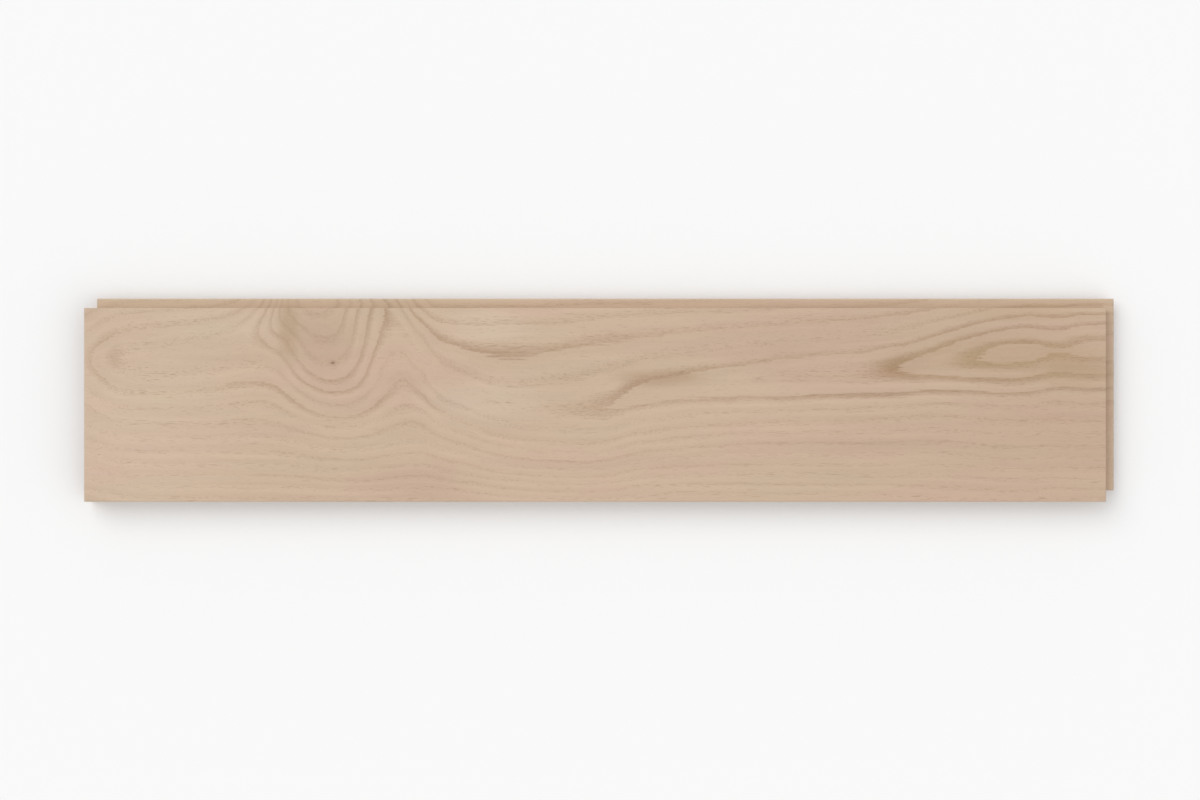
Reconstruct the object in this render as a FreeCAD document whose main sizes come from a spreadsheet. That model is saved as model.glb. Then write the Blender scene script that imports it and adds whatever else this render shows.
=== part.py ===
"""Wide plank floorboard: one solid oak board, tongue and groove on its long edges and on its ends.

The board lies face up. X runs along the grain, Y across the board and Z up. The origin is on the back,
under the middle of the walking face. The long tongue is on the +Y edge and the end tongue on the +X end.
"""

import FreeCAD, Part
import os

import Sketcher

NODE = "floorboard"
PARTS_FOLDER = "parts"

# Driving dimensions, in millimetres.
SIZES = {
    "face_width": 127.0,  # walking face, seam to seam
    "face_length": 670.0,  # walking face, joint to joint
    "wear_depth": 7.9,  # wood above the tongue, up to the walking face
    "tongue_thick": 6.2,
    "heel_depth": 4.9,  # wood below the tongue, down to the back
    "tongue_reach": 6.4,  # how far the tongues stand out of the face edge
    "nose_radius": 1.2,  # rounding along the tip of the tongues
    "tongue_play": 0.15,  # room above and below a tongue in its groove
    "tip_room": 0.8,  # room between a tongue's tip and the back of its groove
    "heel_setback": 0.5,  # lower edges stand back, so that the faces close first
    "face_bevel": 0.6,  # small bevel round the walking face
    "channel_pitch": 18.0,  # middle to middle of the relief channels along the back
    "channel_floor": 4.0,
    "channel_flare": 1.0,  # how far each channel wall leans out, from its floor to its mouth
    "channel_depth": 2.4,
    "edge_land": 12.0,  # least flat back that is left between a channel and a face edge
}

# Places that follow from the driving dimensions, as expressions on the sheet.
SIDE = "Sizes.face_width / 2"
END = "Sizes.face_length / 2"
BACK = "0"
TONGUE_FLOOR = "Sizes.heel_depth"
TONGUE_TOP = "(Sizes.heel_depth + Sizes.tongue_thick)"
FACE = f"({TONGUE_TOP} + Sizes.wear_depth)"
GROOVE_TOP = f"{TONGUE_TOP} + Sizes.tongue_play"
GROOVE_FLOOR = f"{TONGUE_FLOOR} - Sizes.tongue_play"
GROOVE_DEPTH = "Sizes.tongue_reach + Sizes.tip_room"

# The channels lie in pairs about the middle of the back, as many as fit between the edge lands.
HALF_MOUTH = "(Sizes.channel_floor / 2 + Sizes.channel_flare)"
CHANNEL_ROOM = f"({SIDE} - Sizes.edge_land - {HALF_MOUTH} - Sizes.channel_pitch / 2)"
CHANNEL_COUNT = f"2 * (floor({CHANNEL_ROOM} / Sizes.channel_pitch) + 1)"
CHANNEL_SPREAD = f"Sizes.channel_pitch * ({CHANNEL_COUNT} - 1)"

# Where the cutters run clear of the wood.
ABOVE = f"{FACE} + Sizes.wear_depth"
BELOW = "-Sizes.heel_depth"
OUTSIDE = f"({END} + 2 * Sizes.tongue_reach)"

NEAR = 1e-4  # two places closer than this are the same place


def make_sheet(doc):
    """The sheet of driving dimensions: a name and a plain number in each row, the number with an alias."""
    sheet = doc.addObject("Spreadsheet::Sheet", "Sizes")
    for row, (name, value) in enumerate(SIZES.items(), start=1):
        sheet.set(f"A{row}", name)
        sheet.set(f"B{row}", str(value))
        sheet.setAlias(f"B{row}", name)
    doc.recompute()


def value_of(body, expression):
    """An expression on the sheet as a number."""
    return float(body.evalExpression(expression))


def origin_feature(body, role):
    """The plane or axis of the body's own origin that has this role."""
    return next(feature for feature in body.Origin.OriginFeatures if feature.Role == role)


def new_sketch(body, name, plane):
    """An empty sketch on one of the body's origin planes."""
    sketch = body.newObject("Sketcher::SketchObject", name)
    sketch.AttachmentSupport = [(origin_feature(body, plane), "")]
    sketch.MapMode = "FlatFace"
    return sketch


def draw_outline(body, sketch, corners):
    """Draws a closed outline of straight lines and ties each corner to the sheet.

    A corner is a pair of expressions, along the sketch's own two axes.
    """
    places = [FreeCAD.Vector(value_of(body, across), value_of(body, up), 0) for across, up in corners]
    first = sketch.GeometryCount
    count = len(corners)
    for step in range(count):
        sketch.addGeometry(Part.LineSegment(places[step], places[(step + 1) % count]))
    for step in range(count):
        following = first + (step + 1) % count
        sketch.addConstraint(Sketcher.Constraint("Coincident", first + step, 2, following, 1))
    for step, corner in enumerate(corners):
        for kind, expression, value in zip(("DistanceX", "DistanceY"), corner, places[step]):
            index = sketch.addConstraint(Sketcher.Constraint(kind, -1, 1, first + step, 1, value))
            sketch.setExpression(f"Constraints[{index}]", expression)


def cut_through(body, sketch, name):
    """Cuts a sketch's outlines right through the board, both ways from the sketch."""
    pocket = body.newObject("PartDesign::Pocket", name)
    pocket.Profile = sketch
    pocket.Type = "ThroughAll"
    pocket.SideType = "Symmetric"
    body.Document.recompute()
    return pocket


def run_section(body):
    """The moulded section, with its long tongue and groove, run to the length of face and end tongue."""
    sketch = new_sketch(body, "section", "YZ_Plane")
    draw_outline(
        body,
        sketch,
        [
            (f"-{SIDE} + Sizes.heel_setback", BACK),
            (f"{SIDE} - Sizes.heel_setback", BACK),
            (f"{SIDE} - Sizes.heel_setback", TONGUE_FLOOR),
            (f"{SIDE} + Sizes.tongue_reach", TONGUE_FLOOR),
            (f"{SIDE} + Sizes.tongue_reach", TONGUE_TOP),
            (SIDE, TONGUE_TOP),
            (SIDE, FACE),
            (f"-{SIDE}", FACE),
            (f"-{SIDE}", GROOVE_TOP),
            (f"-{SIDE} + {GROOVE_DEPTH}", GROOVE_TOP),
            (f"-{SIDE} + {GROOVE_DEPTH}", GROOVE_FLOOR),
            (f"-{SIDE} + Sizes.heel_setback", GROOVE_FLOOR),
        ],
    )
    sketch.setExpression("AttachmentOffset.Base.z", f"-{END}")
    run = body.newObject("PartDesign::Pad", "run")
    run.Profile = sketch
    run.setExpression("Length", "Sizes.face_length + Sizes.tongue_reach")
    body.Document.recompute()


def cut_end_tongue(body):
    """The end tongue: the wood above and below it is cut away across the whole board."""
    sketch = new_sketch(body, "end_tongue_shoulders", "XZ_Plane")
    heel = f"{END} - Sizes.heel_setback"
    for shoulder, root, clear in ((END, TONGUE_TOP, ABOVE), (heel, TONGUE_FLOOR, BELOW)):
        draw_outline(body, sketch, [(shoulder, root), (OUTSIDE, root), (OUTSIDE, clear), (shoulder, clear)])
    cut_through(body, sketch, "end_tongue")


def cut_end_groove(body):
    """The end groove and the step back of the lip under it, cut across the whole board."""
    sketch = new_sketch(body, "end_groove_slot", "XZ_Plane")
    slot_back = f"-{END} + {GROOVE_DEPTH}"
    heel = f"-{END} + Sizes.heel_setback"
    draw_outline(
        body,
        sketch,
        [
            (f"-{OUTSIDE}", BELOW),
            (heel, BELOW),
            (heel, GROOVE_FLOOR),
            (slot_back, GROOVE_FLOOR),
            (slot_back, GROOVE_TOP),
            (f"-{OUTSIDE}", GROOVE_TOP),
        ],
    )
    cut_through(body, sketch, "end_groove")


def cut_back_channels(body):
    """The relief channels, run the whole length of the back and evenly spaced about its middle."""
    sketch = new_sketch(body, "channel_section", "YZ_Plane")
    middle = f"-{CHANNEL_SPREAD} / 2"
    draw_outline(
        body,
        sketch,
        [
            (f"{middle} - {HALF_MOUTH}", BELOW),
            (f"{middle} + {HALF_MOUTH}", BELOW),
            (f"{middle} + {HALF_MOUTH}", BACK),
            (f"{middle} + Sizes.channel_floor / 2", "Sizes.channel_depth"),
            (f"{middle} - Sizes.channel_floor / 2", "Sizes.channel_depth"),
            (f"{middle} - {HALF_MOUTH}", BACK),
        ],
    )
    channel = cut_through(body, sketch, "channel")
    row = body.newObject("PartDesign::LinearPattern", "channel_row")
    row.Originals = [channel]
    row.Direction = (origin_feature(body, "Y_Axis"), [""])
    row.setExpression("Length", CHANNEL_SPREAD)
    row.setExpression("Occurrences", CHANNEL_COUNT)
    body.Tip = row
    body.Document.recompute()


def edges_where(shape, wanted):
    """The names of the straight edges that have both ends, and so their whole line, where wanted says."""
    return [
        f"Edge{number}"
        for number, edge in enumerate(shape.Edges, start=1)
        if all(wanted(vertex.Point) for vertex in edge.Vertexes)
    ]


def bevel_face(body):
    """The small bevel round the four edges of the walking face."""
    face = value_of(body, FACE)
    board = body.Tip
    names = edges_where(board.Shape, lambda point: abs(point.z - face) < NEAR)
    bevel = body.newObject("PartDesign::Chamfer", "face_bevel")
    bevel.Base = (board, names)
    bevel.setExpression("Size", "Sizes.face_bevel")
    body.Document.recompute()


def round_tongue_noses(body):
    """The rounding along the upper and lower arris at the tip of both tongues."""
    side_tip = value_of(body, f"{SIDE} + Sizes.tongue_reach")
    end_tip = value_of(body, f"{END} + Sizes.tongue_reach")
    levels = (value_of(body, TONGUE_TOP), value_of(body, TONGUE_FLOOR))

    def on_side_nose(point, level):
        return abs(point.y - side_tip) < NEAR and abs(point.z - level) < NEAR

    def on_end_nose(point, level):
        return abs(point.x - end_tip) < NEAR and abs(point.z - level) < NEAR

    board = body.Tip
    names = [
        name
        for level in levels
        for on_nose in (on_side_nose, on_end_nose)
        for name in edges_where(board.Shape, lambda point: on_nose(point, level))
    ]
    nose = body.newObject("PartDesign::Fillet", "tongue_nose")
    nose.Base = (board, names)
    nose.setExpression("Radius", "Sizes.nose_radius")
    body.Document.recompute()


def make_floorboard(doc):
    """The whole board as one body."""
    body = doc.addObject("PartDesign::Body", NODE)
    body.Label = NODE
    run_section(body)
    cut_end_tongue(body)
    cut_end_groove(body)
    cut_back_channels(body)
    bevel_face(body)
    round_tongue_noses(body)
    return body


def check(doc, body):
    """Stops the build if a feature failed or the board is not one valid solid."""
    failed = [item.Name for item in doc.Objects if {"Invalid", "Error"} & set(item.State)]
    if failed:
        raise RuntimeError(f"features that failed: {failed}")
    shape = body.Shape
    if shape.isNull() or not shape.isValid() or len(shape.Solids) != 1:
        raise RuntimeError(f"{body.Label} is not one valid solid")


def main():
    """Builds the board, checks it, writes its solid and prints its size."""
    doc = FreeCAD.newDocument("Floorboard")
    make_sheet(doc)
    body = make_floorboard(doc)
    doc.recompute()
    check(doc, body)
    os.makedirs(PARTS_FOLDER, exist_ok=True)
    body.Shape.exportStep(os.path.join(PARTS_FOLDER, f"{body.Label}.step"))
    box = body.Shape.BoundBox
    print(f"{body.Label}: {box.XLength:.2f} x {box.YLength:.2f} x {box.ZLength:.2f} mm, "
          f"{body.Shape.Volume / 1000:.1f} cm3, {len(body.Shape.Faces)} faces")


main()
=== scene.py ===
"""Wide plank floorboard in matt oak, lying face up on a pale floor under soft studio light.

The board's shape is a copy of its solid, with softened arrises and the grain's own relief. Its colour is a
solid oak: annual rings, pores and rays are worked out in all three directions, so that the walking face,
the edges, the back and the end grain all show the same piece of wood.
"""

from __future__ import annotations

import logging
import math
from dataclasses import dataclass, field
from enum import Enum
from typing import Any, Mapping, Sequence, Union

import bmesh
import bpy
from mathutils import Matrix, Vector

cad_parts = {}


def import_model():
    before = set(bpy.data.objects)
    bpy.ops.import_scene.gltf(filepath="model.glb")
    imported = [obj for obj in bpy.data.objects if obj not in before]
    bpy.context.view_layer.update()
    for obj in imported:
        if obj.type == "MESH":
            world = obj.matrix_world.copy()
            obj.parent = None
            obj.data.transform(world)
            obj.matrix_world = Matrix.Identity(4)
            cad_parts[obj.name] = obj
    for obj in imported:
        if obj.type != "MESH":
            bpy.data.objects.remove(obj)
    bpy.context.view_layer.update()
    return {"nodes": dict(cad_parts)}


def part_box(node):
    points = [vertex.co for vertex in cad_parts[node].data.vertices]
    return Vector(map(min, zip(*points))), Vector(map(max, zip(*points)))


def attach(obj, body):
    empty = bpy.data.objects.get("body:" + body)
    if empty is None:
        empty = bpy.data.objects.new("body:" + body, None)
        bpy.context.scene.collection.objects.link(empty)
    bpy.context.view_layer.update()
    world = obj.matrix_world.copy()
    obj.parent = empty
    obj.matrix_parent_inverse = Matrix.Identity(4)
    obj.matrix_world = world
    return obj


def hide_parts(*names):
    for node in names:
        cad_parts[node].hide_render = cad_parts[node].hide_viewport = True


LOG = logging.getLogger("floorboard")

NODE = "floorboard"
BODY = "root"
MM = 0.001  # one millimetre, in metres

# The board's own directions.
ALONG = Vector((1, 0, 0))
ACROSS = Vector((0, 1, 0))
UP = Vector((0, 0, 1))

Colour = tuple[float, float, float]
Span = tuple[float, float]
Input = Union["Field", float, Sequence[float]]


def linear(red: int, green: int, blue: int) -> Colour:
    """A colour that is given in screen values from 0 to 255, as a shader's colour.

    Args:
        red: The red part.
        green: The green part.
        blue: The blue part.

    Returns:
        The same colour in linear light, from 0 to 1.
    """
    parts = (part / 255 for part in (red, green, blue))
    return tuple(part / 12.92 if part <= 0.04045 else ((part + 0.055) / 1.055) ** 2.4 for part in parts)


class Field:
    """A value in a node tree, which Python's operators work on."""

    def __init__(self, graph: Graph, socket: bpy.types.NodeSocket) -> None:
        """Wraps an output socket of a node in this graph."""
        self.graph = graph
        self.socket = socket

    def __add__(self, other: Input) -> Field:
        """This value plus another."""
        return self.graph.math("ADD", self, other)

    def __radd__(self, other: Input) -> Field:
        """Another value plus this one."""
        return self.graph.math("ADD", other, self)

    def __sub__(self, other: Input) -> Field:
        """This value less another."""
        return self.graph.math("SUBTRACT", self, other)

    def __rsub__(self, other: Input) -> Field:
        """Another value less this one."""
        return self.graph.math("SUBTRACT", other, self)

    def __mul__(self, other: Input) -> Field:
        """This value times another."""
        return self.graph.math("MULTIPLY", self, other)

    def __rmul__(self, other: Input) -> Field:
        """Another value times this one."""
        return self.graph.math("MULTIPLY", other, self)

    def __truediv__(self, other: Input) -> Field:
        """This value divided by another."""
        return self.graph.math("DIVIDE", self, other)

    def __neg__(self) -> Field:
        """This value with its sign changed."""
        return self.graph.math("MULTIPLY", self, -1.0)

    def __abs__(self) -> Field:
        """This value without its sign."""
        return self.graph.math("ABSOLUTE", self)


class Graph:
    """Adds nodes to a shader tree or a geometry tree, and links them."""

    def __init__(self, tree: bpy.types.NodeTree) -> None:
        """Starts on a tree that is already there."""
        self.tree = tree

    def node(self, kind: str, settings: Mapping[str, Any], sockets: Mapping[Any, Input]) -> bpy.types.Node:
        """Adds one node.

        Args:
            kind: The node's type.
            settings: Its properties, set before its sockets. "points" are the points of a curve.
            sockets: Its inputs by name or number, each a value or a Field to link.

        Returns:
            The new node.
        """
        new = self.tree.nodes.new(kind)
        for name, value in settings.items():
            if name == "points":
                self._bend_curve(new.mapping, value)
            else:
                setattr(new, name, value)
        for name, value in sockets.items():
            if isinstance(value, Field):
                self.tree.links.new(value.socket, new.inputs[name])
            else:
                new.inputs[name].default_value = value
        return new

    def out(self, node: bpy.types.Node, name: Any = 0) -> Field:
        """One output of a node, by name or number."""
        return Field(self, node.outputs[name])

    @staticmethod
    def _bend_curve(mapping: bpy.types.CurveMapping, points: Sequence[tuple[float, float]]) -> None:
        """Puts a curve's points in place of its first two.

        Args:
            mapping: The curve's mapping.
            points: The points, in rising order.
        """
        curve = mapping.curves[0]
        for place in points[1:-1]:
            curve.points.new(*place)
        for point, place in zip(curve.points, points):
            point.location = place
            point.handle_type = "AUTO_CLAMPED"
        mapping.update()

    def math(self, operation: str, *values: Input) -> Field:
        """One Math node on one to three values."""
        return self.out(self.node("ShaderNodeMath", {"operation": operation}, dict(enumerate(values))))

    def vector(self, x: Input, y: Input, z: Input) -> Field:
        """Three values as one vector."""
        return self.out(self.node("ShaderNodeCombineXYZ", {}, {"X": x, "Y": y, "Z": z}))

    def parts(self, vector: Field) -> tuple[Field, Field, Field]:
        """A vector's three values."""
        node = self.node("ShaderNodeSeparateXYZ", {}, {0: vector})
        return self.out(node, "X"), self.out(node, "Y"), self.out(node, "Z")

    def step(self, value: Input, low: float, high: float) -> Field:
        """A soft step.

        Args:
            value: The value that it depends on.
            low: Where the step is 0. This may be the larger number.
            high: Where the step is 1.

        Returns:
            The step's height there.
        """
        if low > high:
            return 1.0 - self.step(value, high, low)
        settings = {"interpolation_type": "SMOOTHSTEP"}
        sockets = {"Value": value, "From Min": low, "From Max": high}
        return self.out(self.node("ShaderNodeMapRange", settings, sockets))

    def bell(self, *offsets: Field) -> Field:
        """A bell shape.

        Args:
            offsets: How far the place is from the middle in each direction, in reaches of the bell.

        Returns:
            1 where all offsets are 0, and about a third where one of them is 1.
        """
        total: Input = 0.0
        for offset in offsets:
            total = offset * offset + total
        return self.math("EXPONENT", -total)

    def noise(self, place: Field, detail: float, roughness: float) -> Field:
        """Soft noise about zero, with features about half a unit long."""
        sockets = {"Vector": place, "Scale": 1.0, "Detail": detail, "Roughness": roughness}
        return self.out(self.node("ShaderNodeTexNoise", {"noise_dimensions": "3D"}, sockets)) - 0.5

    def line_noise(self, place: Field) -> Field:
        """Soft noise about zero along one value."""
        sockets = {"W": place, "Scale": 1.0, "Detail": 1.0}
        return self.out(self.node("ShaderNodeTexNoise", {"noise_dimensions": "1D"}, sockets)) - 0.5

    def chance(self, number: Field) -> Field:
        """A value about zero, from -0.5 to 0.5, that belongs to a whole number."""
        settings = {"noise_dimensions": "1D"}
        return self.out(self.node("ShaderNodeTexWhiteNoise", settings, {"W": number}), "Value") - 0.5

    def cells(self, place: Field) -> tuple[Field, Field]:
        """Scattered points in cells of one unit.

        Args:
            place: Where to look.

        Returns:
            The distance to the nearest point, and a value from 0 to 1 that belongs to that point.
        """
        settings = {"voronoi_dimensions": "3D", "feature": "F1"}
        node = self.node("ShaderNodeTexVoronoi", settings, {"Vector": place, "Scale": 1.0})
        return self.out(node, "Distance"), self.parts(self.out(node, "Color"))[0]

    def curve(self, value: Field, stations: Sequence[tuple[float, float]]) -> Field:
        """A smooth curve through stations.

        Args:
            value: Where to read the curve.
            stations: The value and the height at each point of the curve, in rising order of value.

        Returns:
            The curve's height there.
        """
        start, end = stations[0][0], stations[-1][0]
        low = min(height for _, height in stations)
        span = max(height for _, height in stations) - low
        points = [((at - start) / (end - start), (height - low) / span) for at, height in stations]
        sockets = {"Value": (value - start) / (end - start)}
        return self.out(self.node("ShaderNodeFloatCurve", {"points": points}, sockets)) * span + low

    def mix(self, amount: Input, one: Input, other: Input, blend: str = "MIX") -> Field:
        """One colour mixed with another.

        Args:
            amount: How much of the other colour, from 0 to 1.
            one: The first colour.
            other: The colour laid over it.
            blend: How it is laid.

        Returns:
            The mixed colour.
        """
        # A Mix node has sockets for several kinds of value. These are the numbers of the ones for colours.
        first, second, result = 6, 7, 2
        colours = {
            socket: colour if isinstance(colour, Field) else (*colour, 1.0)
            for socket, colour in ((first, one), (second, other))
        }
        settings = {"data_type": "RGBA", "blend_type": blend, "clamp_factor": True}
        return self.out(self.node("ShaderNodeMix", settings, {0: amount, **colours}), result)


@dataclass(frozen=True)
class Mottle:
    """Soft noise about zero in the wood. Its reaches are how long its unit is in each direction."""

    reaches: tuple[float, float, float]
    strength: float = 1.0
    detail: float = 2.0
    roughness: float = 0.5
    shift: float = 0.0

    def at(self, graph: Graph, *place: Input) -> Field:
        """The noise at a place.

        Args:
            graph: The tree to add to.
            place: The place, as one value in each direction.

        Returns:
            The noise there, times its strength.
        """
        first, second, third = (value / reach for value, reach in zip(place, self.reaches))
        spot = graph.vector(first, second, third + self.shift)
        return graph.noise(spot, self.detail, self.roughness) * self.strength


@dataclass(frozen=True)
class Rings:
    """The growth of the wood at a place.

    The place is in millimetres from the groove end, from the tongue edge and below the walking face. The
    radius and the turn are about the tree's heart, the number is the ring's, and the share is how far
    through that ring the place is.
    """

    along: Field
    across: Field
    below: Field
    radius: Field
    turn: Field
    number: Field
    share: Field


@dataclass(frozen=True)
class Swirl:
    """Grain that runs round a pin knot in arches, in millimetres from the groove end and the tongue edge."""

    along: float = 150.0
    across: float = -18.0
    reach_along: float = 31.5
    reach_across: float = 86.0
    lift: float = 31.0
    lean: float = 0.2
    squareness: float = 2.3

    def lift_at(self, graph: Graph, along: Field, across: Field) -> Field:
        """How far the rings are drawn up round the pin knot.

        Args:
            graph: The tree to add to.
            along: The distance from the groove end.
            across: The distance from the tongue edge.

        Returns:
            The lift there, in millimetres.
        """
        depth = across - self.across
        offset_along = abs(along - self.along - self.lean * depth) / self.reach_along
        offset_across = abs(depth) / self.reach_across
        away = (
            graph.math("POWER", offset_along, self.squareness)
            + graph.math("POWER", offset_across, self.squareness)
        )
        return self.lift * graph.math("EXPONENT", -away)


@dataclass(frozen=True)
class Growth:
    """How the tree grew, in millimetres from the groove end, the tongue edge and the walking face.

    The rings lie round a heart that runs below the board. Where it rises, the rings come out of the walking
    face as chevrons.
    """

    origin: tuple[float, float, float]  # that end, edge and face in the board's frame, in metres
    ring_width: float = 6.2
    ring_start: float = 52.0
    ring_uneven: float = 0.35
    uneven_rate: float = 0.45
    middle: float = 36.0
    stray_reach: float = 48.0
    crest: float = 12.0
    crest_reach: float = 14.0
    swirl: Swirl = Swirl()
    wobbles: tuple[Mottle, ...] = (Mottle((120, 26, 26), 4.6), Mottle((36, 7, 7), 1.7))
    fibres: Mottle = Mottle((60, 1.2, 1.2), detail=3.0)
    # Where the heart runs across the board, at stations along it.
    heart_across: tuple[tuple[float, float], ...] = (
        (-40, 34), (10, 34), (60, 32), (120, 16), (160, -6), (190, 0), (220, 30), (245, 52), (322, 67),
        (365, 57), (405, 51), (460, 46), (520, 42), (575, 33), (625, 28), (710, 25),
    )
    # How deep it lies below the walking face.
    heart_below: tuple[tuple[float, float], ...] = (
        (-40, 76.0), (0, 66.0), (14, 60.6), (24, 58.0), (40, 56.8), (100, 56.0), (165, 55.6),
        (240, 55.2), (290, 54.8), (322, 53.5), (345, 52.0), (405, 49.6), (460, 48.6), (500, 47.7),
        (522, 47.0), (548, 45.6), (568, 43.0), (586, 40.4), (602, 38.6), (616, 38.0), (630, 39.3),
        (639, 39.9), (650, 39.0), (664, 38.5), (690, 40.0), (710, 41.0),
    )

    def rings(self, graph: Graph, position: Field, feather: float = 0.0) -> Rings:
        """Works out the rings at a place in the board.

        Args:
            graph: The tree to add to.
            position: The place, in metres, in the board's frame.
            feather: How far the fibres feather a ring's edge, in rings.

        Returns:
            The rings there.
        """
        x, y, z = graph.parts(position)
        left, top, face = self.origin
        along = (x - left) / MM
        across = (top - y) / MM
        below = (face - z) / MM
        stray = graph.curve(along, self.heart_across) - self.middle
        offset = across - self.middle
        lateral = offset - stray * graph.bell((offset - stray) / self.stray_reach)
        crested = lateral + self.crest * graph.math("TANH", lateral / self.crest_reach)
        rise = graph.curve(along, self.heart_below) - below
        plain_radius = graph.math("SQRT", rise * rise + crested * crested)
        wobble = sum(mottle.at(graph, along, across, below) for mottle in self.wobbles)
        radius = plain_radius - self.swirl.lift_at(graph, along, across) + wobble
        turn = graph.math("ARCTAN2", lateral, rise)
        count = (radius - self.ring_start) / self.ring_width
        count = count + graph.line_noise(count * self.uneven_rate) * self.ring_uneven
        if feather:
            count = count + self.fibres.at(graph, along, across, below) * feather
        number = graph.math("FLOOR", count)
        return Rings(along, across, below, radius, turn, number, count - number)


@dataclass(frozen=True)
class Patch:
    """A soft patch in the wood, in millimetres from the groove end and the tongue edge."""

    along: float
    across: float
    reach_along: float
    reach_across: float

    def at(self, graph: Graph, rings: Rings) -> Field:
        """How much of the patch there is at a place, from 0 to 1."""
        offset_along = (rings.along - self.along) / self.reach_along
        return graph.bell(offset_along, (rings.across - self.across) / self.reach_across)


@dataclass(frozen=True)
class Fade(Patch):
    """A patch where the rings are fainter."""

    amount: float


@dataclass(frozen=True)
class Tint(Patch):
    """A patch of another colour, all over or mostly in the early wood."""

    colour: Colour
    amount: float
    in_early: float = 0.0


@dataclass(frozen=True)
class Pores:
    """Open pores of one size, each in a long cell of the wood, in millimetres."""

    length: float
    pitch: float
    share_in_early: float
    share_everywhere: float = 0.0
    darkness: float = 1.0
    stagger: Mottle = Mottle((1.0, 1.4, 1.4), 5.0, detail=0.0)
    wall: Span = (0.45, 0.2)
    luck_edge: float = 0.02

    def at(self, graph: Graph, rings: Rings, crowd: Field) -> Field:
        """How much of a pore there is at a place.

        Args:
            graph: The tree to add to.
            rings: The rings there.
            crowd: How crowded the pores are there.

        Returns:
            The amount, from 0 to the pores' darkness.
        """
        shift = self.stagger.at(graph, 0.0, rings.radius, rings.across)
        distance, luck = graph.cells(graph.vector(
            rings.along / self.length + shift,
            (rings.radius - rings.below) / self.pitch,
            rings.across / self.pitch,
        ))
        spare = crowd * self.share_in_early + self.share_everywhere - luck
        held = graph.step(spare, -self.luck_edge, self.luck_edge)
        return graph.step(distance, *self.wall) * held * self.darkness


@dataclass(frozen=True)
class Rays:
    """The broad rays: thin sheets that stand along the grain and run out from the heart."""

    length: float = 36.0
    depth: float = 150.0
    per_radian: float = 55.0
    edge: Span = (0.13, 0.07)

    def at(self, graph: Graph, rings: Rings) -> Field:
        """How much of a ray there is at a place.

        Args:
            graph: The tree to add to.
            rings: The rings there.

        Returns:
            The amount, from 0 to 1.
        """
        around = rings.turn * self.per_radian
        distance, _ = graph.cells(graph.vector(rings.along / self.length, around, rings.radius / self.depth))
        return graph.step(distance, *self.edge)


@dataclass(frozen=True)
class CutterMarks:
    """The marks that moulding cutters leave on raw wood, in millimetres."""

    wave_length: float = 1.9
    wave_height: float = 0.005
    scores: Mottle = Mottle((1.0, 0.35, 9.0), 0.06, detail=3.0, roughness=0.65)

    def at(self, graph: Graph, rings: Rings, end_grain: Field) -> Field:
        """The height of the marks.

        Args:
            graph: The tree to add to.
            rings: The rings there.
            end_grain: How much of the place is end grain.

        Returns:
            The height: waves along the board, and scores on its ends.
        """
        waves = graph.math("SINE", rings.along * (math.tau / self.wave_length)) * self.wave_height
        scores = self.scores.at(graph, 0.0, rings.across, rings.below)
        return waves * (1.0 - end_grain) + scores * end_grain


@dataclass(frozen=True)
class PinKnot:
    """The pin knot inside the swirl: a small, ragged, dark core in a soft ring."""

    along: float = 163.0
    across: float = 36.0
    half_length: float = 1.5
    half_width: float = 1.0
    core: float = 0.5
    core_edge: Span = (1.1, 0.3)
    ragged: Mottle = Mottle((1.6, 0.9, 30.0), 1.6)
    ring: float = 0.22
    ring_size: float = 2.0

    def at(self, graph: Graph, rings: Rings) -> Field:
        """How much of the knot's colour there is at a place.

        Args:
            graph: The tree to add to.
            rings: The rings there.

        Returns:
            The amount, from 0 to 1.
        """
        along = (rings.along - self.along) / self.half_length
        across = (rings.across - self.across) / self.half_width
        ragged = self.ragged.at(graph, rings.along, rings.across, rings.below)
        core = graph.step(along * along + across * across + ragged, *self.core_edge)
        return core * self.core + graph.bell(along / self.ring_size, across / self.ring_size) * self.ring


@dataclass(frozen=True)
class Wood:
    """What the wood is like at a place, for its colour and its surface."""

    rings: Rings
    sealed: Field
    end_grain: Field
    early: Field
    bold: Field
    fibres: Field
    pores: Field


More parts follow.
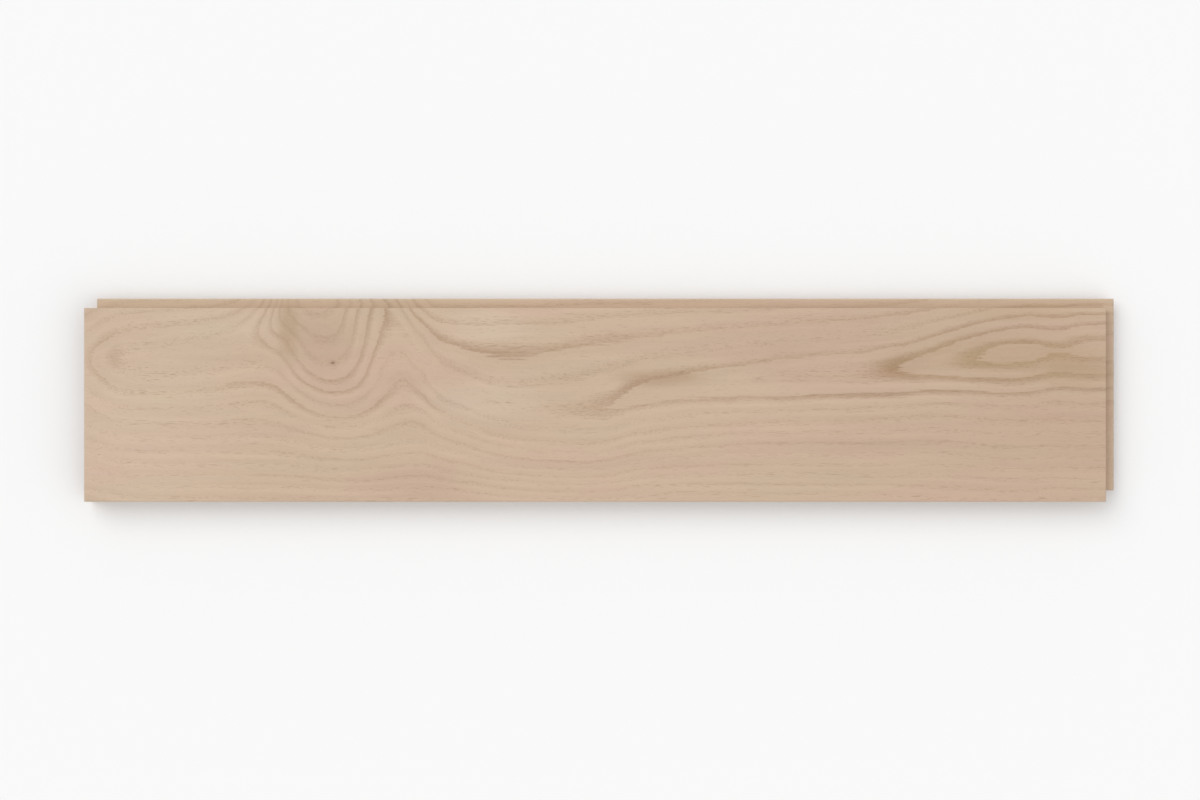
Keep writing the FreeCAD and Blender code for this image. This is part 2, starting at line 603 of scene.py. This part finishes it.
@dataclass(frozen=True)
class OakFinish:
    """The wood's colours and its matt finish. Its lengths are in millimetres."""

    late: Colour = linear(203, 178, 154)
    tan: Colour = linear(193, 166, 141)
    early: Colour = linear(180, 151, 124)
    pore: Colour = linear(145, 113, 86)
    ray: Colour = linear(179, 147, 119)
    raw: Colour = linear(206, 184, 160)
    end: Colour = linear(182, 154, 126)
    knot: Colour = linear(122, 90, 66)
    # How much of each colour is laid over the ones before it.
    tan_amount: float = 0.6
    ray_amount: float = 0.5
    pore_amount: float = 0.6
    pore_amount_on_ends: float = 0.3
    raw_amount: float = 0.35
    end_amount: float = 0.6
    # The surface.
    sealed_roughness: float = 0.5
    raw_roughness: float = 0.8
    pore_roughness: float = 0.15
    fibre_roughness: float = 0.08
    pore_depth: float = 0.045
    fibre_height: float = 0.018
    bump_strength: float = 0.6
    refraction: float = 1.5
    # Where the coat ends below the walking face, and which faces count as end grain.
    coat_end: Span = (0.9, 0.7)
    end_facing: Span = (0.6, 0.9)
    # The rings: where the early wood ends in each, how sharply the next starts, and where they are faint.
    early_end: Span = (0.58, 0.06)
    ring_edge: float = 0.05
    feather: float = 0.36
    fading: Mottle = Mottle((110, 22, 22), 1.1)
    faint_across: Span = (58.0, 76.0)
    faint_across_by: float = 0.62
    faint_along: Span = (130.0, 70.0)
    faint_along_by: float = 0.5
    bolder_on_ends: float = 0.2
    fades: tuple[Fade, ...] = (
        Fade(150, 25, 45, 40, 0.5),
        Fade(208, 47, 24, 16, 0.5),
        Fade(425, 16, 95, 22, 0.6),
        Fade(395, 64, 55, 9, 0.45),
    )
    # How bold the early wood of each ring is, from the heart outwards.
    ring_boldness: tuple[tuple[float, float], ...] = (
        (-8, 0.6), (-5, 0.7), (-4, 0.55), (-3, 0.8), (-2, 0.7), (-1, 0.95), (0, 1.0), (1, 0.35), (2, 0.9),
        (3, 0.5), (4, 0.8), (5, 0.25), (6, 0.85), (7, 0.3), (8, 0.75), (9, 0.35), (10, 0.6), (16, 0.5),
    )
    # Pores, rays, the knot and the marks of the cutters.
    pores: tuple[Pores, Pores] = (
        Pores(10.0, 0.34, 0.85),
        Pores(4.5, 0.2, 0.6, share_everywhere=0.1, darkness=0.8),
    )
    crowd_at_least: float = 0.4
    crowd_by_boldness: float = 0.6
    rays: Rays = Rays()
    pin_knot: PinKnot = PinKnot()
    cutter_marks: CutterMarks = CutterMarks()
    # Lighter and darker wood: streaks, clouds, fibres and a shade of its own for each ring.
    streaks: Mottle = Mottle((150, 3.4, 9), 0.16, detail=3.0)
    clouds: Mottle = Mottle((190, 42, 42), 0.1)
    fibres: Mottle = Mottle((45, 0.8, 1.1), detail=3.0, roughness=0.6)
    fibre_shade: float = 0.09
    ring_shade: float = 0.03
    # Pinker and greener wood: the noise, and what it does to red, green and blue.
    blush: Mottle = Mottle((130, 30, 30), shift=7.0)
    blush_parts: Colour = (0.06, -0.08, 0.03)
    tint_ragged: Mottle = Mottle((70, 3, 5), 0.9, detail=4.0, roughness=0.6)
    tint_edge: Span = (0.1, 1.0)
    # Patches of other colours. Together they make the board lighter at the groove end and darker towards the
    # tongue end: partly the wood's own tone, partly painted light falling across the board.
    tints_and_painted_light: tuple[Tint, ...] = (
        Tint(18, 66, 95, 75, linear(208, 185, 163), 0.5),
        Tint(262, 60, 44, 17, linear(207, 185, 163), 0.6),
        Tint(90, 12, 50, 14, linear(209, 188, 165), 0.45),
        Tint(264, 12, 30, 13, linear(209, 188, 167), 0.5),
        Tint(218, 112, 46, 17, linear(186, 156, 135), 0.45),
        Tint(14, 32, 12, 20, linear(184, 157, 131), 0.7, 0.85),
        Tint(155, 20, 26, 24, linear(183, 154, 131), 0.45),
        Tint(500, 20, 120, 30, linear(190, 161, 139), 0.5),
        Tint(590, 92, 160, 40, linear(191, 162, 139), 0.5),
        Tint(660, 60, 90, 70, linear(186, 157, 133), 0.45),
        Tint(600, 32, 78, 18, linear(172, 143, 106), 0.75, 0.55),
        Tint(534, 38, 20, 9, linear(160, 130, 93), 0.7, 0.75),
        Tint(650, 42, 30, 10, linear(176, 146, 114), 0.55),
        Tint(134, 14, 8, 22, linear(175, 149, 117), 0.6),
        Tint(378, 46, 32, 6, linear(172, 143, 115), 0.7),
        Tint(612, 3, 58, 7, linear(185, 160, 126), 0.4),
    )

    def material(self, growth: Growth) -> bpy.types.Material:
        """Makes the oak.

        Args:
            growth: How the tree grew.

        Returns:
            The material.
        """
        material = bpy.data.materials.new("matt_oak")
        material.use_nodes = True
        material.node_tree.nodes.clear()
        graph = Graph(material.node_tree)
        wood = self._wood(graph, growth)
        bump = graph.node("ShaderNodeBump", {}, {
            "Strength": self.bump_strength, "Distance": MM, "Height": self._height(graph, wood)})
        shader = graph.node("ShaderNodeBsdfPrincipled", {}, {
            "Base Color": self._colour(graph, wood),
            "Roughness": self._roughness(wood),
            "Normal": graph.out(bump),
            "IOR": self.refraction,
        })
        graph.node("ShaderNodeOutputMaterial", {}, {"Surface": graph.out(shader)})
        return material

    def _wood(self, graph: Graph, growth: Growth) -> Wood:
        """Works out what the wood is like.

        Args:
            graph: The tree to add to.
            growth: How the tree grew.

        Returns:
            The wood at each place.
        """
        place = graph.node("ShaderNodeTexCoord", {}, {})
        rings = growth.rings(graph, graph.out(place, "Object"), self.feather)
        facing_along = abs(graph.parts(graph.out(place, "Normal"))[0])
        sealed = graph.step(rings.below, *self.coat_end)
        end_grain = graph.step(facing_along, *self.end_facing) * (1.0 - sealed)
        early = graph.step(rings.share, *self.early_end) * graph.step(rings.share, 0.0, self.ring_edge)
        bold = self._boldness(graph, rings) + end_grain * self.bolder_on_ends
        fibres = self.fibres.at(graph, rings.along, rings.radius, rings.across)
        crowd = early * (self.crowd_at_least + self.crowd_by_boldness * bold)
        pores = graph.math("MAXIMUM", *(size.at(graph, rings, crowd) for size in self.pores))
        return Wood(rings, sealed, end_grain, early, bold, fibres, pores)

    def _boldness(self, graph: Graph, rings: Rings) -> Field:
        """How bold the early wood of the rings is.

        Args:
            graph: The tree to add to.
            rings: The rings there.

        Returns:
            The boldness, about 1 where it is full.
        """
        fading = self.fading.at(graph, rings.along, rings.across, rings.below)
        bold = graph.curve(rings.number, self.ring_boldness) * (1.0 + fading)
        bold = bold * (1.0 - self.faint_across_by * graph.step(rings.across, *self.faint_across))
        bold = bold * (1.0 - self.faint_along_by * graph.step(rings.along, *self.faint_along))
        for fade in self.fades:
            bold = bold * (1.0 - fade.amount * fade.at(graph, rings))
        return bold

    def _colour(self, graph: Graph, wood: Wood) -> Field:
        """The wood's colour.

        Args:
            graph: The tree to add to.
            wood: What the wood is like.

        Returns:
            Its colour.
        """
        rings = wood.rings
        ripe = graph.math("MAXIMUM", rings.share, 1.0 - rings.share / self.ring_edge)
        colour = graph.mix(ripe * self.tan_amount, self.late, self.tan)
        colour = graph.mix(wood.early * wood.bold, colour, self.early)
        colour = self._tinted(graph, colour, wood)
        colour = graph.mix(1.0, colour, self._shades(graph, wood), "MULTIPLY")
        colour = graph.mix(self.rays.at(graph, rings) * self.ray_amount, colour, self.ray)
        pore_amount = self.pore_amount + self.pore_amount_on_ends * wood.end_grain
        colour = graph.mix(wood.pores * pore_amount, colour, self.pore)
        colour = graph.mix(self.pin_knot.at(graph, rings), colour, self.knot)
        colour = graph.mix((1.0 - wood.sealed) * self.raw_amount, colour, self.raw)
        return graph.mix(wood.end_grain * self.end_amount, colour, self.end, "MULTIPLY")

    def _tinted(self, graph: Graph, colour: Field, wood: Wood) -> Field:
        """Lays the patches of other colours over the wood. They are partly the wood's own colour and partly
        painted light: lighter at the groove end, darker towards the tongue end.

        Args:
            graph: The tree to add to.
            colour: The wood's colour.
            wood: What the wood is like.

        Returns:
            The wood's colour with the patches.
        """
        rings = wood.rings
        ragged = self.tint_ragged.at(graph, rings.along, rings.radius, rings.across)
        for tint in self.tints_and_painted_light:
            patch = tint.at(graph, rings)
            amount = graph.step(patch + ragged * patch, *self.tint_edge) * tint.amount
            if tint.in_early:
                amount = amount * (1.0 - tint.in_early + tint.in_early * wood.early)
            colour = graph.mix(amount, colour, tint.colour)
        return colour

    def _shades(self, graph: Graph, wood: Wood) -> Field:
        """What red, green and blue are multiplied by, where the wood is lighter, darker or pinker.

        Args:
            graph: The tree to add to.
            wood: What the wood is like.

        Returns:
            The three values.
        """
        rings = wood.rings
        shade = (
            1.0
            + self.streaks.at(graph, rings.along, rings.radius, rings.across)
            + wood.fibres * self.fibre_shade
            + self.clouds.at(graph, rings.along, rings.across, rings.below)
            + graph.chance(rings.number) * self.ring_shade
        )
        blush = self.blush.at(graph, rings.along, rings.across, rings.below)
        return graph.vector(*(shade + blush * part for part in self.blush_parts))

    def _roughness(self, wood: Wood) -> Field:
        """How rough the surface is: less where it is sealed."""
        roughness = wood.sealed * (self.sealed_roughness - self.raw_roughness) + self.raw_roughness
        return roughness + wood.pores * self.pore_roughness + wood.fibres * self.fibre_roughness

    def _height(self, graph: Graph, wood: Wood) -> Field:
        """The height of the fine relief, in millimetres: fibres, pores, and cutter marks on raw wood."""
        marks = self.cutter_marks.at(graph, wood.rings, wood.end_grain) * (1.0 - wood.sealed)
        return wood.fibres * self.fibre_height - wood.pores * self.pore_depth + marks


@dataclass(frozen=True)
class FloorFinish:
    """A plain, pale, matt floor."""

    colour: Colour = (0.92, 0.92, 0.92)
    roughness: float = 0.9
    specular: float = 0.0

    def material(self) -> bpy.types.Material:
        """Makes the floor's material.

        Returns:
            The material.
        """
        material = bpy.data.materials.new("pale_floor")
        material.use_nodes = True
        material.node_tree.nodes.clear()
        graph = Graph(material.node_tree)
        shader = graph.node("ShaderNodeBsdfPrincipled", {}, {
            "Base Color": (*self.colour, 1.0),
            "Roughness": self.roughness,
            "Specular IOR Level": self.specular,
        })
        graph.node("ShaderNodeOutputMaterial", {}, {"Surface": graph.out(shader)})
        return material


class Panel(Enum):
    """The panels of the board's texture map: the surfaces that look one way, each laid flat."""

    FACE = "walking face and top of the tongues"
    BACK = "back, channels and underside of the tongues"
    TONGUE_EDGE = "long edge with the tongue"
    GROOVE_EDGE = "long edge with the groove"
    TONGUE_END = "end with the tongue"
    GROOVE_END = "end with the groove"
    LONG_FLOOR = "floor of the long groove"
    LONG_CEILING = "ceiling of the long groove"
    END_FLOOR = "floor of the end groove"
    END_CEILING = "ceiling of the end groove"


@dataclass(frozen=True)
class MapRow:
    """A row of the texture map: its height, and what runs right and what runs up on each of its panels."""

    height: float
    panels: Mapping[Panel, tuple[Vector, Vector]]


@dataclass(frozen=True)
class TextureMap:
    """The map that the wood can be baked on. About half of it goes to the walking face.

    The map is one unit wide and high. Its rows are stacked from the bottom, and no panel is mirrored. A face
    is put on a panel by the way that it looks and by its place: in metres, in the board's frame.
    """

    name: str = "OFBake"
    gap: float = 0.004
    tongue_middle: float = 8.0 * MM
    groove_depth: float = 7.2 * MM
    looks_down: float = -0.3
    looks_up: float = 0.5
    rows: tuple[MapRow, ...] = (
        MapRow(0.043, {Panel.TONGUE_END: (ACROSS, UP), Panel.GROOVE_END: (-ACROSS, UP)}),
        MapRow(0.012, {Panel.END_FLOOR: (ACROSS, -ALONG), Panel.END_CEILING: (ACROSS, ALONG)}),
        MapRow(0.014, {Panel.LONG_FLOOR: (ALONG, ACROSS)}),
        MapRow(0.014, {Panel.LONG_CEILING: (ALONG, -ACROSS)}),
        MapRow(0.058, {Panel.TONGUE_EDGE: (ALONG, -UP)}),
        MapRow(0.058, {Panel.GROOVE_EDGE: (ALONG, UP)}),
        MapRow(0.27, {Panel.BACK: (ALONG, -ACROSS)}),
        MapRow(0.49, {Panel.FACE: (ALONG, ACROSS)}),
    )

    def lay(self, mesh: bpy.types.Mesh) -> None:
        """Adds the map to the board's mesh.

        Args:
            mesh: The mesh.
        """
        corners: dict[Panel, list[int]] = {panel: [] for panel in Panel}
        left = min(vert.co.x for vert in mesh.vertices)
        for face in mesh.polygons:
            corners[self._panel_of(face, left)].extend(face.loop_indices)
        layer = mesh.uv_layers.new(name=self.name)
        bottom = self.gap
        for row in self.rows:
            width = (1.0 - self.gap) / len(row.panels) - self.gap
            for number, (panel, (right, up)) in enumerate(row.panels.items()):
                places = [mesh.vertices[mesh.loops[corner].vertex_index].co for corner in corners[panel]]
                start = self.gap + number * (width + self.gap)
                rightwards = self._fitted([right.dot(place) for place in places], start, width)
                upwards = self._fitted([up.dot(place) for place in places], bottom, row.height)
                for corner, spot in zip(corners[panel], zip(rightwards, upwards)):
                    layer.uv[corner].vector = spot
            bottom += row.height + self.gap

    def _panel_of(self, face: bpy.types.MeshPolygon, left: float) -> Panel:
        """The panel that a face belongs to.

        Args:
            face: The face.
            left: Where the board's groove end is.

        Returns:
            Its panel.
        """
        normal, middle = face.normal, face.center
        in_end_groove = middle.x < left + self.groove_depth
        if normal.z < self.looks_down:
            if middle.z < self.tongue_middle:
                return Panel.BACK
            return Panel.END_CEILING if in_end_groove else Panel.LONG_CEILING
        if normal.z > self.looks_up:
            if middle.z > self.tongue_middle:
                return Panel.FACE
            return Panel.END_FLOOR if in_end_groove else Panel.LONG_FLOOR
        if abs(normal.x) > abs(normal.y):
            return Panel.TONGUE_END if normal.x > 0 else Panel.GROOVE_END
        return Panel.TONGUE_EDGE if normal.y > 0 else Panel.GROOVE_EDGE

    @staticmethod
    def _fitted(values: Sequence[float], start: float, length: float) -> list[float]:
        """Values spread evenly over a length of the map."""
        low, high = min(values), max(values)
        return [start + (value - low) / (high - low) * length for value in values]


@dataclass
class Floorboard:
    """The board: its solid's shape with softened arrises and the relief of its grain, in metres."""

    solid: bpy.types.Object
    growth: Growth
    finish: OakFinish = field(default_factory=OakFinish)
    texture_map: TextureMap = field(default_factory=TextureMap)
    arris: float = 0.25 * MM
    arris_steps: int = 2
    cell_along: float = 4.0 * MM
    cell_across: float = 2.0 * MM
    relief: float = 0.03 * MM
    relief_facing: Span = (0.9, 0.999)  # how squarely a face has to look up to get the relief
    relief_end: Span = (0.3, 0.1)  # where the relief ends, in millimetres below the walking face
    same_place: float = 1e-6
    same_plane: float = math.radians(0.5)
    turned_edge: float = math.radians(38)

    def build(self) -> bpy.types.Object:
        """Makes the finished board as one plain mesh.

        Returns:
            The board's object, at the origin.
        """
        mesh = self._cut_in_cells(self._soften(self._merged_copy()))
        board = bpy.data.objects.new("oak_board", mesh)
        bpy.context.collection.objects.link(board)
        self._raise_grain(board, self.finish.material(self.growth))
        self.texture_map.lay(board.data)
        LOG.info("oak_board: %d faces", len(board.data.polygons))
        return board

    def _merged_copy(self) -> bpy.types.Mesh:
        """A copy of the solid's mesh with its triangles joined into flat faces.

        Returns:
            The copy.
        """
        mesh = self.solid.data.copy()
        work = bmesh.new()
        work.from_mesh(mesh)
        bmesh.ops.remove_doubles(work, verts=work.verts, dist=self.same_place)
        bmesh.ops.dissolve_limit(work, angle_limit=self.same_plane, verts=work.verts, edges=work.edges)
        work.to_mesh(mesh)
        work.free()
        return mesh

    def _soften(self, mesh: bpy.types.Mesh) -> bpy.types.Mesh:
        """Rounds the arrises.

        Args:
            mesh: The board with sharp arrises.

        Returns:
            A new mesh with rounded ones.
        """
        item = bpy.data.objects.new("arrises", mesh)
        bpy.context.collection.objects.link(item)
        bevel = item.modifiers.new("arris", "BEVEL")
        bevel.width = self.arris
        bevel.segments = self.arris_steps
        bevel.limit_method = "ANGLE"
        bevel.angle_limit = self.turned_edge
        rounded = evaluated_mesh(item)
        bpy.data.objects.remove(item)
        return rounded

    def _cut_in_cells(self, mesh: bpy.types.Mesh) -> bpy.types.Mesh:
        """Cuts the mesh into cells, longer along the grain than across it.

        Args:
            mesh: The board in large faces.

        Returns:
            The same mesh, cut and smooth.
        """
        work = bmesh.new()
        work.from_mesh(mesh)
        for direction, cell in ((ACROSS, self.cell_across), (ALONG, self.cell_along)):
            reaches = [direction.dot(vert.co) for vert in work.verts]
            low, high = min(reaches), max(reaches)
            count = math.ceil((high - low) / cell)
            for number in range(1, count):
                everything = work.verts[:] + work.edges[:] + work.faces[:]
                place = direction * (low + (high - low) * number / count)
                bmesh.ops.bisect_plane(
                    work, geom=everything, dist=self.same_place, plane_co=place, plane_no=direction
                )
        for face in work.faces:
            face.smooth = True
        work.to_mesh(mesh)
        work.free()
        return mesh

    def _raise_grain(self, board: bpy.types.Object, material: bpy.types.Material) -> None:
        """Lifts the late wood a little out of the walking face, and puts the material on.

        Args:
            board: The board, which gets a plain mesh with the relief in it.
            material: Its material.
        """
        tree = bpy.data.node_groups.new("grain_relief", "GeometryNodeTree")
        sockets = tree.interface
        sockets.new_socket("Geometry", in_out="OUTPUT", socket_type="NodeSocketGeometry")
        sockets.new_socket("Geometry", in_out="INPUT", socket_type="NodeSocketGeometry")
        relief = sockets.new_socket("Relief", in_out="INPUT", socket_type="NodeSocketFloat")
        oak = sockets.new_socket("Oak", in_out="INPUT", socket_type="NodeSocketMaterial")
        graph = Graph(tree)
        given = graph.node("NodeGroupInput", {}, {})
        position = graph.out(graph.node("GeometryNodeInputPosition", {}, {}))
        looks_up = graph.parts(graph.out(graph.node("GeometryNodeInputNormal", {}, {})))[2]
        rings = self.growth.rings(graph, position)
        wave = 0.5 - 0.5 * graph.math("COSINE", rings.share * math.tau)
        lift = (wave - 1.0) * graph.out(given, "Relief")
        on_face = graph.step(looks_up, *self.relief_facing) * graph.step(rings.below, *self.relief_end)
        raised = graph.node("GeometryNodeSetPosition", {}, {
            "Geometry": graph.out(given, "Geometry"), "Offset": graph.vector(0.0, 0.0, lift * on_face)})
        whole = graph.node("GeometryNodeRealizeInstances", {}, {"Geometry": graph.out(raised)})
        dressed = graph.node("GeometryNodeSetMaterial", {}, {
            "Geometry": graph.out(whole), "Material": graph.out(given, "Oak")})
        graph.node("NodeGroupOutput", {}, {"Geometry": graph.out(dressed)})

        modifier = board.modifiers.new("grain", "NODES")
        modifier.node_group = tree
        modifier[relief.identifier] = self.relief
        modifier[oak.identifier] = material
        normals = board.modifiers.new("normals", "WEIGHTED_NORMAL")
        normals.keep_sharp = True
        plain = evaluated_mesh(board)
        board.modifiers.clear()
        board.data = plain


def evaluated_mesh(item: bpy.types.Object) -> bpy.types.Mesh:
    """The plain mesh that an object's modifiers make."""
    graph = bpy.context.evaluated_depsgraph_get()
    return bpy.data.meshes.new_from_object(item.evaluated_get(graph), depsgraph=graph)


@dataclass
class SoftLamp:
    """A wide soft lamp, so far away that it lights the whole floor evenly."""

    name: str
    place: tuple[float, float, float]
    angle: float
    strength: float

    def build(self) -> None:
        """Hangs the lamp, facing the middle of the floor."""
        lamp = bpy.data.lights.new(self.name, "SUN")
        lamp.angle = self.angle
        lamp.energy = self.strength
        item = bpy.data.objects.new(self.name, lamp)
        item.location = self.place
        item.rotation_euler = (-Vector(self.place)).to_track_quat("-Z", "Y").to_euler()
        bpy.context.collection.objects.link(item)


@dataclass
class Studio:
    """The floor, the light and the camera straight above the board."""

    middle: Vector
    board_length: float
    floor_side: float = 120.0
    floor_gap: float = 0.2 * MM
    filled: float = 0.86  # how much of the picture's width the board fills
    lens: float = 85.0
    sensor: float = 36.0
    ambient: float = 0.62
    backdrop: float = 0.947
    lamps: tuple[SoftLamp, ...] = (
        SoftLamp("key", (-1.5, 1.6, 2.6), math.radians(50), 1.125),
        SoftLamp("fill", (1.8, -1.2, 2.4), math.radians(70), 0.59),
    )

    def build(self) -> None:
        """Sets everything up."""
        self._lay_floor()
        for lamp in self.lamps:
            lamp.build()
        self._light_room()
        self._place_camera()
        bpy.context.scene.view_settings.view_transform = "Standard"

    def _lay_floor(self) -> None:
        """Lays the floor just under the board."""
        half = self.floor_side / 2
        corners = [(-half, -half), (half, -half), (half, half), (-half, half)]
        mesh = bpy.data.meshes.new("floor")
        mesh.from_pydata([(x, y, -self.floor_gap) for x, y in corners], [], [(0, 1, 2, 3)])
        mesh.materials.append(FloorFinish().material())
        floor = bpy.data.objects.new("floor", mesh)
        bpy.context.collection.objects.link(floor)

    def _light_room(self) -> None:
        """Fills the room with even light, in front of a backdrop as pale as the floor."""
        world = bpy.data.worlds.new("studio")
        world.use_nodes = True
        world.node_tree.nodes.clear()
        graph = Graph(world.node_tree)
        seen = graph.out(graph.node("ShaderNodeLightPath", {}, {}), "Is Camera Ray")
        light = graph.node("ShaderNodeBackground", {}, {
            "Color": (1.0, 1.0, 1.0, 1.0), "Strength": seen * (self.backdrop - self.ambient) + self.ambient})
        graph.node("ShaderNodeOutputWorld", {}, {"Surface": graph.out(light)})
        bpy.context.scene.world = world

    def _place_camera(self) -> None:
        """Hangs the camera above the middle of the board, with the long tongue at the top of the picture."""
        data = bpy.data.cameras.new("camera")
        data.lens = self.lens
        data.sensor_width = self.sensor
        camera = bpy.data.objects.new("camera", data)
        distance = self.board_length / self.filled * self.lens / self.sensor
        camera.location = self.middle + UP * distance
        bpy.context.collection.objects.link(camera)
        bpy.context.scene.camera = camera


def main() -> None:
    """Loads the board's solid, dresses it, and sets up the studio."""
    logging.basicConfig(level=logging.INFO, format="%(name)s: %(message)s")
    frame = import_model()
    low, high = (Vector(corner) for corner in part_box(NODE))
    tongue_edge = -low.y  # the walking face lies evenly about the origin, without the long tongue
    growth = Growth(origin=(low.x, tongue_edge, high.z))
    board = Floorboard(frame["nodes"][NODE], growth).build()
    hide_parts(NODE)
    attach(board, BODY)
    middle = (low + high) / 2
    Studio(Vector((middle.x, middle.y, high.z)), high.x - low.x).build()


if __name__ == "__main__":
    main()
